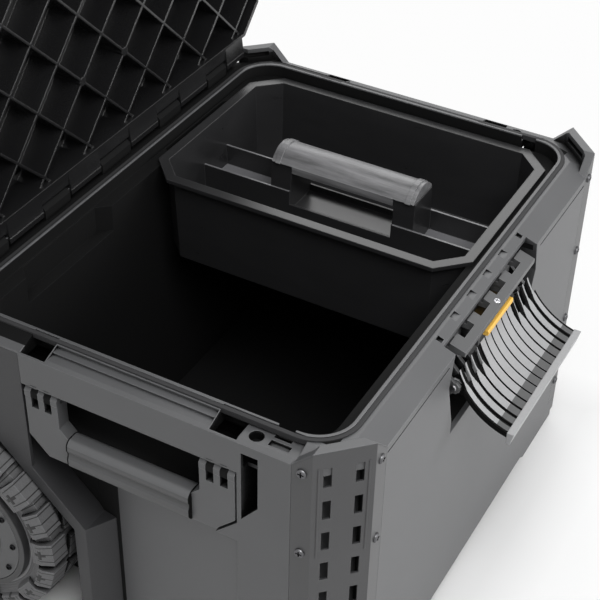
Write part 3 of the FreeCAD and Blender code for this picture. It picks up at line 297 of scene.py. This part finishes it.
def tyreRubber(name, tint, rough, size):
    # rubber with narrow cuts and crosses on the lugs painted dark as their shade, painted shade in the gaps between
    # the lugs, edges lighter as wear and a painted highlight, fine rings on the side wall and a lighter bead
    material, paint = newMaterial(name)
    whole = paint.coordinates("Generated")
    width, across, up = ((part - 0.5) * size for part in paint.axes(whole, "XYZ"))
    radius = (across * across + up * up) ** 0.5
    turn = up.math("ARCTAN2", up, across)
    sipe = turn.math("SINE", turn * tread["sipes"]).beyond(tread["cut"]) * radius.beyond(tread["shoulder"])
    pitch = 2 * math.pi / tread["lugs"]
    lug = turn.math("FRACT", turn * (1.0 / pitch) + width.beyond(0.0) * 0.5 + tread["shift"])
    sideways = ((lug - 0.5) * radius * pitch).absolute()
    outward = (radius - tread["cross"]).absolute()
    cross = (sideways.under(tread["half"]) * outward.under(tread["arm"])).above(
        sideways.under(tread["arm"]) * outward.under(tread["half"]))
    sipe = sipe.above(cross)
    ring = radius.math("SINE", radius * (2 * math.pi / tread["ringPitch"]))
    rings = ring * tread["ringRise"] * (1.0 - radius.beyond(tread["shoulder"]))
    grain = paint.noise(whole, tread["grain"], tread["grainDetail"])
    edge, edgeMask = softEdges(paint, tread["edge"])
    base = paint.mix(grain, rgba(tint, tread["dark"]), rgba(tint, tread["light"]))
    rubbed = paint.mix(edgeMask * tread["wear"], base, rgba(tint, tread["worn"]))
    bead = radius.between(0.0, tread["bead"])
    beaded = paint.mix(bead, rubbed, rgba(tint, tread["beadLight"]))
    # painted shade in the cuts and crosses
    cutShaded = paint.mix(sipe, beaded, rgba(tint, tread["cutShadeTint"]))
    bump = paint.bump(rings - sipe + grain * tread["grainRise"], edge, tread["bump"], tread["depth"])
    # painted shade in the gaps between the lugs, kept off the bead
    closeMaterial(paint, {"Base Color": cutShaded, "Roughness": rough + (grain - 0.5) * tread["sheen"], "Normal": bump},
                  recessShade(paint, tread["gaps"]) * (1.0 - bead))
    return material


powder = dict(peel=700.0, cloud=16.0, cloudDetail=4.0, edge=0.0006, dark=0.85, light=1.18, wear=0.4, chip=2.2,
              bump=0.25, depth=0.00015, sheen=0.1, coat=0.15, coatRough=0.3)


def powderCoat(name, tint, rough):
    material, paint = newMaterial(name)
    place = paint.coordinates("Object")
    peel = paint.add("ShaderNodeTexVoronoi", None, {"Vector": place, "Scale": powder["peel"]})
    cloud = paint.noise(place, powder["cloud"], powder["cloudDetail"])
    edge, edgeMask = softEdges(paint, powder["edge"])
    base = paint.mix(cloud, rgba(tint, powder["dark"]), rgba(tint, powder["light"]))
    chipped = paint.mix(edgeMask * powder["wear"], base, rgba(tint, powder["chip"]))
    closeMaterial(paint, {"Base Color": chipped, "Roughness": rough + (cloud - 0.5) * powder["sheen"],
                          "Normal": paint.bump(peel, edge, powder["bump"], powder["depth"]),
                          "Coat Weight": powder["coat"], "Coat Roughness": powder["coatRough"]})
    return material


metal = dict(lines=160.0, lineDetail=3.0, edge=0.0004, dark=0.8, light=1.15, bump=0.15, depth=0.0001, sheen=0.2,
             polish=0.08)


def turnedMetal(name, tint, rough, stretch=(1.0, 1.0, 1.0), shade=0.0):
    # fine lines, drawn out along the axis whose stretch is small; shade is the reach in metres of the painted shade
    # in its hollows
    material, paint = newMaterial(name)
    drawn = paint.add("ShaderNodeMapping", None, {"Vector": paint.coordinates("Object"), "Scale": stretch})
    lines = paint.noise(drawn, metal["lines"], metal["lineDetail"])
    edge, edgeMask = softEdges(paint, metal["edge"])
    base = paint.mix(lines, rgba(tint, metal["dark"]), rgba(tint, metal["light"]))
    closeMaterial(paint, {"Base Color": base, "Metallic": 1.0,
                          "Normal": paint.bump(lines, edge, metal["bump"], metal["depth"]),
                          "Roughness": rough + (lines - 0.5) * metal["sheen"] - edgeMask * metal["polish"]},
                  recessShade(paint, shade) if shade else None)
    return material


boltFace = dict(back=0.22, grain=60.0, grainDetail=3.0, edge=0.0005, dark=0.85, light=1.1, shadedBack=0.03, sheen=0.15)


def boltPlastic(name, tint, rough):
    # bright front edge; behind it the bolt is painted near black as shade
    material, paint = newMaterial(name)
    whole = paint.coordinates("Generated")
    depth, = paint.axes(whole, "Y")
    grain = paint.noise(whole, boltFace["grain"], boltFace["grainDetail"])
    edge = softEdges(paint, boltFace["edge"])[0]
    bright = paint.mix(grain, rgba(tint, boltFace["dark"]), rgba(tint, boltFace["light"]))
    base = paint.mix(depth.beyond(boltFace["back"]), bright, rgba(tint, boltFace["shadedBack"]))
    closeMaterial(paint, {"Base Color": base, "Roughness": rough + (grain - 0.5) * boltFace["sheen"], "Normal": edge})
    return material


flapBands = dict(count=14.0, middle=0.16, side=0.42, taper=3.0, lip=0.10, fade=0.27, root=0.62, rootSteep=6.0,
                 ends=0.34, endSteep=8.0, rootWidth=0.8, grain=45.0, grainDetail=4.0, dark=0.88, light=1.12,
                 shadeDark=0.85, shadeTint=0.12, wear=0.5, worn=1.6, sheen=0.16)


def ribbedPlastic(name, tint, rough):
    # slats with grooves painted dark as their shade, which widen to the sides, painted shade in the corners at the
    # roots, and a band above the lip painted darker as shade
    material, paint = newMaterial(name)
    whole = paint.coordinates("Generated")
    across, along = paint.axes(whole, "XY")
    grain = paint.noise(whole, flapBands["grain"], flapBands["grainDetail"])
    edge, edgeMask = softEdges(paint, plastic["edge"])
    aside = (across * 2.0 - 1.0).absolute()
    groove = (across.math("FRACT", across * flapBands["count"]) - 0.5).absolute()
    width = flapBands["middle"] + aside ** flapBands["taper"] * flapBands["side"]
    rootShade = ((along - flapBands["root"]) * flapBands["rootSteep"]).clamped()
    rootShade = rootShade * ((aside - flapBands["ends"]) * flapBands["endSteep"]).clamped()
    grooveShade = groove.beyond(0.5 - width.above(rootShade * flapBands["rootWidth"]) * 0.5)
    grooveShade = grooveShade * along.beyond(flapBands["lip"])
    shadeDark = along.between(flapBands["lip"], flapBands["fade"])
    base = paint.mix(grain, rgba(tint, flapBands["dark"]), rgba(tint, flapBands["light"]))
    bandShaded = paint.mix(shadeDark * flapBands["shadeDark"], base, rgba(tint, flapBands["shadeTint"]))
    worn = paint.mix(edgeMask * flapBands["wear"], bandShaded, rgba(tint, flapBands["worn"]))
    sheen = rough + (grain - 0.5) * flapBands["sheen"]
    closeMaterial(paint, {"Base Color": worn, "Roughness": sheen, "Normal": edge}, grooveShade)
    return material


streaks = dict(scale=8.0, detail=6.0, rough=0.7, edge=0.001, start=0.35, steep=3.3, dark=0.55, light=1.5, wear=0.4,
               worn=1.8, bump=0.3, depth=0.0003, sheen=0.3)


def streakyPlastic(name, tint, rough, stretch):
    # lighter and darker streaks in the colour, drawn out along its length
    material, paint = newMaterial(name)
    drawn = paint.add("ShaderNodeMapping", None, {"Vector": paint.coordinates("Object"), "Scale": stretch})
    streak = paint.noise(drawn, streaks["scale"], streaks["detail"], streaks["rough"])
    edge, edgeMask = softEdges(paint, streaks["edge"])
    marks = ((streak - streaks["start"]) * streaks["steep"]).clamped()
    base = paint.mix(marks, rgba(tint, streaks["dark"]), rgba(tint, streaks["light"]))
    worn = paint.mix(edgeMask * streaks["wear"], base, rgba(tint, streaks["worn"]))
    closeMaterial(paint, {"Base Color": worn, "Roughness": rough + (streak - 0.5) * streaks["sheen"],
                          "Normal": paint.bump(streak, edge, streaks["bump"], streaks["depth"])})
    return material


# gain lightens the trough floor as painted light
troughLight = dict(half=0.19, low=0.25, high=0.62, posts=0.17, upright=0.95, gain=8.0, dark=0.85, light=1.15,
                   wear=0.8, worn=3.0, sheen=0.12)


def trayPlastic(name, tint, rough):
    # black moulding whose trough floor beyond the grip posts is painted lighter, as painted light on its upward faces
    material, paint = newMaterial(name)
    whole = paint.coordinates("Generated")
    across, along, up = paint.axes(whole, "XYZ")
    level, = paint.axes(paint.geometry("Normal"), "Z")
    cloud = paint.noise(whole, plastic["cloud"], plastic["cloudDetail"])
    edge, edgeMask = softEdges(paint, plastic["edge"])
    middle, endward = (across - 0.5).absolute(), (along - 0.5).absolute()
    litTrough = middle.under(troughLight["half"]) * endward.beyond(troughLight["posts"])
    litTrough = litTrough * up.between(troughLight["low"], troughLight["high"]) * level.beyond(troughLight["upright"])
    base = paint.mix(cloud, rgba(tint, troughLight["dark"]), rgba(tint, troughLight["light"]))
    troughLit = paint.mix(litTrough, base, rgba(tint, troughLight["gain"]))
    worn = paint.mix(edgeMask * troughLight["wear"], troughLit, rgba(tint, troughLight["worn"]))
    sheen = rough + (cloud - 0.5) * troughLight["sheen"]
    closeMaterial(paint, {"Base Color": worn, "Roughness": sheen, "Normal": edge})
    return material


gripBands = dict(groove=0.58, half=0.13, top=0.84, ends=0.49, grain=60.0, grainDetail=5.0, dark=0.85, light=1.15,
                 shadeDark=0.7, shadeTint=0.2, bright=0.8, worn=1.8, sheen=0.15)


def bandedGrip(name, tint, rough):
    # soft grip with a dark band painted along its face as the shade of a groove, a lighter upper edge and edges as
    # painted highlight and wear, and painted shade in the seam at each end
    material, paint = newMaterial(name)
    whole = paint.coordinates("Generated")
    along, up = paint.axes(whole, "YZ")
    grain = paint.noise(whole, gripBands["grain"], gripBands["grainDetail"])
    edge, edgeMask = softEdges(paint, plastic["edge"])
    groove = (1.0 - (up - gripBands["groove"]).absolute() / gripBands["half"]).above(0.0)
    # painted highlight along the upper edge, with wear on the edges
    rubbed = up.beyond(gripBands["top"]).above(edgeMask) * gripBands["bright"]
    base = paint.mix(grain, rgba(tint, gripBands["dark"]), rgba(tint, gripBands["light"]))
    shadeDark = paint.mix(groove * gripBands["shadeDark"], base, rgba(tint, gripBands["shadeTint"]))
    worn = paint.mix(rubbed, shadeDark, rgba(tint, gripBands["worn"]))
    sheen = rough + (grain - 0.5) * gripBands["sheen"]
    seamShade = (along - 0.5).absolute().beyond(gripBands["ends"])
    closeMaterial(paint, {"Base Color": worn, "Roughness": sheen, "Normal": edge}, seamShade)
    return material


# finishes by the record's material slots
finishes = dict(
    tub_plastic=mouldedPlastic("tubPlastic", (0.080, 0.081, 0.084), 0.42, shade=0.16, shadedByPlace=True),
    lid_plastic=mouldedPlastic("lidPlastic", (0.010, 0.010, 0.0105), 0.26, wear=0.3),
    seal_rubber=softRubber("sealRubber", (0.014, 0.014, 0.015), 0.75, pore=900.0),
    bracket_paint=powderCoat("bracketPaint", (0.038, 0.038, 0.040), 0.40),
    screw_steel=turnedMetal("screwSteel", (0.12, 0.12, 0.125), 0.36, shade=0.004),
    pin_steel=turnedMetal("pinSteel", (0.50, 0.50, 0.52), 0.30, stretch=(0.1, 1.0, 1.0)),
    latch_plastic=mouldedPlastic("latchPlastic", (0.078, 0.079, 0.081), 0.42, shade=0.015),
    bolt_plastic=boltPlastic("boltPlastic", (0.85, 0.50, 0.09), 0.42),
    tube_aluminium=turnedMetal("tubeAluminium", (0.16, 0.16, 0.167), 0.34, stretch=(1.0, 1.0, 0.05)),
    clamp_plastic=mouldedPlastic("clampPlastic", (0.085, 0.086, 0.09), 0.48),
    grip_rubber=softRubber("gripRubber", (0.110, 0.111, 0.116), 0.52, pore=1100.0),
    button_plastic=mouldedPlastic("buttonPlastic", (0.80, 0.40, 0.04), 0.42),
    handle_plastic=mouldedPlastic("handlePlastic", (0.086, 0.087, 0.090), 0.46, shade=0.04),
    tyre=tyreRubber("tyreRubber", (0.100, 0.100, 0.103), 0.55, size=0.225),
    rim_plastic=mouldedPlastic("rimPlastic", (0.022, 0.022, 0.023), 0.45, shade=0.03),
    ring_plastic=mouldedPlastic("ringPlastic", (0.062, 0.063, 0.065), 0.42),
    tray_plastic=trayPlastic("trayPlastic", (0.020, 0.020, 0.021), 0.30),
    tray_grip_plastic=streakyPlastic("trayGripPlastic", (0.16, 0.16, 0.165), 0.34, stretch=(9.0, 0.8, 9.0)),
)
print("finishes made:", len(finishes))

# nodes whose look differs from the rest of their slot
# the arch covers: the tub's plastic, darker and less shiny as painted shade
archShadedPlastic = mouldedPlastic("archShadedPlastic", (0.034, 0.034, 0.036), 0.46, shade=0.12, shine=0.35)
sideGrip = bandedGrip("sideGrip", (0.064, 0.065, 0.067), 0.45)
# the latch flap: the latch's dark grey plastic, painted light grey as its sheen towards the light
flapSheenPlastic = ribbedPlastic("flapSheenPlastic", (0.30, 0.302, 0.308), 0.40)
ownFinish = dict(latch_flap=flapSheenPlastic, arch_cover_left=archShadedPlastic, arch_cover_right=archShadedPlastic,
                 side_grip_left=sideGrip, side_grip_right=sideGrip)
slotOf = {part["node"]: part["material_slot"] for part in frame["record"]["subparts"]}
for name, piece in nodes.items():
    piece.data.materials.clear()
    piece.data.materials.append(ownFinish.get(name, finishes[slotOf[name]]))
print("nodes dressed")


# fasteners: low domed heads in the places of the CAD heads, with a cross recess or a six-sided socket;
# the profile is (radius, height) in shares of the head's own
fastener = dict(sides=48, profile=((1.0, 0.0), (1.0, 0.35), (0.9, 0.78), (0.7, 1.0)), depth=0.7,
                cross=dict(arm=0.64, half=0.15), socket=0.66, tiny=1e-6)


def islands(node):
    # middle and size of each separate solid of a CAD node, in metres
    shape = bmesh.new()
    shape.from_mesh(nodes[node].data)
    shape.transform(nodes[node].matrix_world)
    bmesh.ops.remove_doubles(shape, verts=shape.verts, dist=fastener["tiny"])
    left = set(shape.verts)
    found = []
    while left:
        queue = [left.pop()]
        points = []
        while queue:
            vert = queue.pop()
            points.append(vert.co.copy())
            for edge in vert.link_edges:
                other = edge.other_vert(vert)
                if other in left:
                    left.remove(other)
                    queue.append(other)
        low = Vector([min(p[k] for p in points) for k in range(3)])
        high = Vector([max(p[k] for p in points) for k in range(3)])
        found.append(((low + high) / 2, high - low))
    shape.free()
    return sorted(found, key=lambda item: tuple(item[0]))


def place(name, mesh, body, slotName, finish=None):
    # puts a modelled piece on its body with the finish of a record slot, or its own
    piece = bpy.data.objects.new(name, mesh)
    bpy.context.scene.collection.objects.link(piece)
    mesh.materials.append(finish or finishes[slotName])
    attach(piece, body)
    return piece


def crossReach(turn):
    # edge of a cross recess in the direction of a turn
    arm, half = fastener["cross"]["arm"], fastener["cross"]["half"]
    near, far = sorted((abs(math.cos(turn)), abs(math.sin(turn))))
    return min(arm / far, half / max(near, fastener["tiny"]))


def socketReach(turn):
    side = math.pi / 3
    return fastener["socket"] * math.cos(side / 2) / math.cos(turn % side - side / 2)


def addHead(shape, middle, size, recess, way=0.0):
    # one head that points along its thin axis, outward from the middle of the part unless way says
    thin = min(range(3), key=lambda k: size[k])
    out = Vector((0.0, 0.0, 0.0))
    out[thin] = way or math.copysign(1.0, middle[thin])
    across = Vector((0.0, 0.0, 1.0)) if thin < 2 else Vector((0.0, 1.0, 0.0))
    side = out.cross(across)
    radius = max(size) / 2
    rise = size[thin]
    foot = middle - out * rise / 2
    turns = [2 * math.pi * i / fastener["sides"] for i in range(fastener["sides"])]
    rings = [(h, [r] * len(turns)) for r, h in fastener["profile"]]
    rings += [(h, [recess(turn) for turn in turns]) for h in (1.0, 1.0 - fastener["depth"])]
    loops = []
    for height, reaches in rings:
        loop = []
        for turn, reach in zip(turns, reaches):
            spot = across * math.cos(turn) + side * math.sin(turn)
            loop.append(shape.verts.new(foot + out * rise * height + spot * radius * reach))
        loops.append(loop)
    for low, high in zip(loops[:-1], loops[1:]):
        for i in range(fastener["sides"]):
            j = (i + 1) % fastener["sides"]
            shape.faces.new((low[i], low[j], high[j], high[i]))
    shape.faces.new(loops[-1])


def closeMesh(name, shape):
    bmesh.ops.recalc_face_normals(shape, faces=shape.faces)
    mesh = bpy.data.meshes.new(name)
    shape.to_mesh(mesh)
    shape.free()
    return mesh


def makeHeads(name, node, body, slotName, recess, finish=None):
    # a head in the place of each solid of a CAD node
    shape = bmesh.new()
    for middle, size in islands(node):
        addHead(shape, middle, size, recess)
    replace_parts(place(name, closeMesh(name, shape), body, slotName, finish), node)


# latch: a screw on its top plate and a turned end on each pivot pin
latchHeads = dict(screw=0.0068, screwRise=0.0016, screwBack=0.005, screwDrop=0.0032, pivot=0.0062,
                  pivotRise=0.0018, pivots=((0.0430, -1.0), (0.0860, 1.0)), axis=(-0.2311, 0.300))


def makeLatchHeads():
    low, high = (Vector(corner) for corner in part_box("latch_base"))
    shape = bmesh.new()
    wide, rise = latchHeads["screw"], latchHeads["screwRise"]
    spot = Vector((0.0, low.y + latchHeads["screwBack"], high.z - latchHeads["screwDrop"]))
    addHead(shape, spot, Vector((wide, wide, rise)), crossReach, 1.0)
    wide, rise = latchHeads["pivot"], latchHeads["pivotRise"]
    y, z = latchHeads["axis"]
    for x, way in latchHeads["pivots"]:
        for hand in (1.0, -1.0):
            addHead(shape, Vector((x * hand, y, z)), Vector((rise, wide, wide)), socketReach, way * hand)
    place("latchHeads", closeMesh("latchHeads", shape), "tub", "pin_steel")


# near-black metal for the rim bolts, painted dark as the shade in their holes, with painted shade in the sockets
holeShadeSteel = turnedMetal("holeShadeSteel", (0.012, 0.012, 0.013), 0.5, shade=0.004)
makeLatchHeads()
makeHeads("bracketScrewHeads", "bracket_screws", "tub", "screw_steel", crossReach)
makeHeads("rimBoltHeadsLeft", "rim_bolts_left", "wheel_left", "screw_steel", socketReach, holeShadeSteel)
makeHeads("rimBoltHeadsRight", "rim_bolts_right", "wheel_right", "screw_steel", socketReach, holeShadeSteel)
print("fasteners placed")


# corner brackets: a folded channel behind each row of slots
slotBack = dict(corner=(0.269, -0.2145), half=0.0205, near=0.0035, deep=0.0165, sheet=0.001, foot=0.0078,
                top=0.330)


def makeSlotBack(name, hand):
    foot = Vector(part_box("corner_bracket_left")[0]).z + slotBack["foot"]
    out = Vector((hand, -1.0, 0.0)).normalized()
    along = Vector((1.0, hand, 0.0)).normalized()
    half, near, deep, sheet = (slotBack[k] for k in ("half", "near", "deep", "sheet"))
    bend = [(-half, near), (-half, deep), (half, deep), (half, near), (half - sheet, near),
            (half - sheet, deep - sheet), (sheet - half, deep - sheet), (sheet - half, near)]
    x, y = slotBack["corner"]
    shape = bmesh.new()
    loops = [[shape.verts.new(Vector((x * hand, y, z)) + along * a - out * d) for a, d in bend]
             for z in (foot, slotBack["top"])]
    for i in range(len(bend)):
        j = (i + 1) % len(bend)
        shape.faces.new((loops[0][i], loops[0][j], loops[1][j], loops[1][i]))
    for loop in loops:
        shape.faces.new(loop)
    place(name, closeMesh(name, shape), "tub", "tub_plastic")


makeSlotBack("slotBackLeft", -1.0)
makeSlotBack("slotBackRight", 1.0)
print("slot backs placed")


# tray grip: a soft cap with a raised band at each end
trayCap = dict(band=0.006, proud=0.0012, steps=16, inset=0.004, rise=0.013)


def makeTrayBands():
    low, high = (Vector(corner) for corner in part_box("tray_grip"))
    middle = (low.x + high.x) / 2
    half = (high.x - low.x) / 2 + trayCap["proud"]
    base = high.z - trayCap["rise"]
    rise = high.z + trayCap["proud"] - base
    radius = (half * half + rise * rise) / (2 * rise)
    shape = bmesh.new()
    ends = ((low.y + trayCap["inset"], 1.0), (high.y - trayCap["inset"], -1.0))
    for start, way in ends:
        loops = []
        for y in (start, start + way * trayCap["band"]):
            loop = []
            for i in range(trayCap["steps"] + 1):
                x = half * math.cos(math.pi * i / trayCap["steps"])
                z = high.z + trayCap["proud"] - radius + math.sqrt(radius * radius - x * x)
                loop.append(shape.verts.new((middle + x, y, z)))
            loops.append(loop)
        count = trayCap["steps"] + 1
        for i in range(count):
            j = (i + 1) % count
            shape.faces.new((loops[0][i], loops[0][j], loops[1][j], loops[1][i]))
        shape.faces.new(loops[0])
        shape.faces.new(loops[1])
    place("trayGripBands", closeMesh("trayGripBands", shape), "tray", "tray_grip_plastic")


makeTrayBands()
print("tray grip bands placed")


# room: pale floor that fades to white, soft boxes, photograph's camera
room = dict(floorReach=40.0, floorSides=64, floorDrop=0.0005, floorTint=(0.86, 0.86, 0.86, 1.0), floorGlow=0.92,
            fadeFrom=0.8, fadeOver=2.0, shadowSamples=8, shadowReach=0.30, shadowFade=0.06,
            white=(1.0, 1.0, 1.0, 1.0), ambient=0.13)


def shownRays(paint):
    # 1 for rays that show the room itself: straight, mirrored or through glass
    seen, mirrored, through = (paint.add("ShaderNodeLightPath", None, None, kind)
                               for kind in ("Is Camera Ray", "Is Glossy Ray", "Is Transmission Ray"))
    return seen.above(mirrored).above(through)


def makeFloor():
    # the floor glows where it lies clear of the part, so that the part's shadow stays
    shape = bmesh.new()
    bmesh.ops.create_circle(shape, cap_ends=True, segments=room["floorSides"], radius=room["floorReach"])
    mesh = bpy.data.meshes.new("floor")
    shape.to_mesh(mesh)
    shape.free()
    floor = bpy.data.objects.new("floor", mesh)
    bpy.context.scene.collection.objects.link(floor)
    floor.location.z = -room["floorDrop"]
    material, paint = newMaterial("floorPaper")
    spot = paint.geometry("Position")
    x, y = paint.axes(spot, "XY")
    away = paint.add("ShaderNodeVectorMath", {"operation": "LENGTH"}, {0: spot}, "Value")
    fade = ((away - room["fadeFrom"]) / room["fadeOver"]).clamped()
    light = paint.add("ShaderNodeAmbientOcclusion", {"samples": room["shadowSamples"]},
                      {"Distance": room["shadowReach"]}, "AO")
    low, high = cadBounds
    beside = (x.absolute() - high[0]).above(low[1] - y).above(y - high[1])
    clear = (beside / room["shadowFade"] + 0.5).clamped()
    glow = (room["floorGlow"] + fade * (1.0 - room["floorGlow"])) * light * clear
    matt = paint.add("ShaderNodeBsdfDiffuse", None, {"Color": room["floorTint"]})
    white = paint.add("ShaderNodeEmission", None, {"Color": room["white"], "Strength": 1.0})
    paper = paint.add("ShaderNodeMixShader", None, {0: shownRays(paint) * glow, 1: matt, 2: white})
    paint.add("ShaderNodeOutputMaterial", None, {"Surface": paper})
    floor.data.materials.append(material)


def makeWorld():
    world = bpy.data.worlds.new("studio")
    bpy.context.scene.world = world
    world.use_nodes = True
    world.node_tree.nodes.clear()
    paint = Finish(world.node_tree)
    strength = shownRays(paint) * (1.0 - room["ambient"]) + room["ambient"]
    glow = paint.add("ShaderNodeBackground", None, {"Color": room["white"], "Strength": strength})
    paint.add("ShaderNodeOutputWorld", None, {"Surface": glow})


lamps = dict(
    key=dict(place=(-0.75, -0.85, 1.75), aim=(-0.1, -0.2, 0.35), size=(1.0, 0.9), power=23.0),
    overhead=dict(place=(-0.2, 0.0, 2.8), aim=(0.0, 0.0, 0.3), size=(1.8, 1.6), power=16.0),
    farSide=dict(place=(1.95, 0.75, 1.95), aim=(0.0, -0.1, 0.35), size=(2.0, 1.6), power=20.0),
    front=dict(place=(0.7, -2.4, 0.9), aim=(0.0, 0.0, 0.3), size=(1.6, 0.8), power=33.0),
    nearSide=dict(place=(-2.2, 0.0, 0.8), aim=(0.0, 0.0, 0.25), size=(1.2, 0.9), power=3.0),
)


def makeLamp(name, place, aim, size, power):
    data = bpy.data.lights.new(name, "AREA")
    data.shape = "RECTANGLE"
    data.size, data.size_y = size
    data.energy = power
    lamp = bpy.data.objects.new(name, data)
    bpy.context.scene.collection.objects.link(lamp)
    lamp.location = place
    lamp.rotation_euler = (Vector(aim) - Vector(place)).to_track_quat("-Z", "Y").to_euler()


# camera: place in metres, angles in degrees, focal length and picture width in pixels
camera = dict(place=(-1.01698, -0.57214, 1.16069), azimuth=-61.766, elevation=37.902, roll=1.384,
              focal=1446.16, frame=600.0, sensor=36.0)


def makeCamera():
    turn, rise, roll = (math.radians(camera[k]) for k in ("azimuth", "elevation", "roll"))
    back = Vector((math.sin(turn) * math.cos(rise), -math.cos(turn) * math.cos(rise), math.sin(rise)))
    side = Vector((0.0, 0.0, 1.0)).cross(back).normalized()
    up = back.cross(side)
    tilted = side * math.cos(roll) + up * math.sin(roll)
    upright = up * math.cos(roll) - side * math.sin(roll)
    data = bpy.data.cameras.new("photoCamera")
    data.sensor_width = camera["sensor"]
    data.lens = camera["focal"] / camera["frame"] * camera["sensor"]
    eye = bpy.data.objects.new("photoCamera", data)
    bpy.context.scene.collection.objects.link(eye)
    basis = Matrix((tilted, upright, back)).transposed().to_4x4()
    eye.matrix_world = Matrix.Translation(camera["place"]) @ basis
    bpy.context.scene.camera = eye


makeFloor()
makeWorld()
for name, lamp in lamps.items():
    makeLamp(name, **lamp)
makeCamera()
bpy.context.scene.view_settings.view_transform = "Standard"
print("room ready")
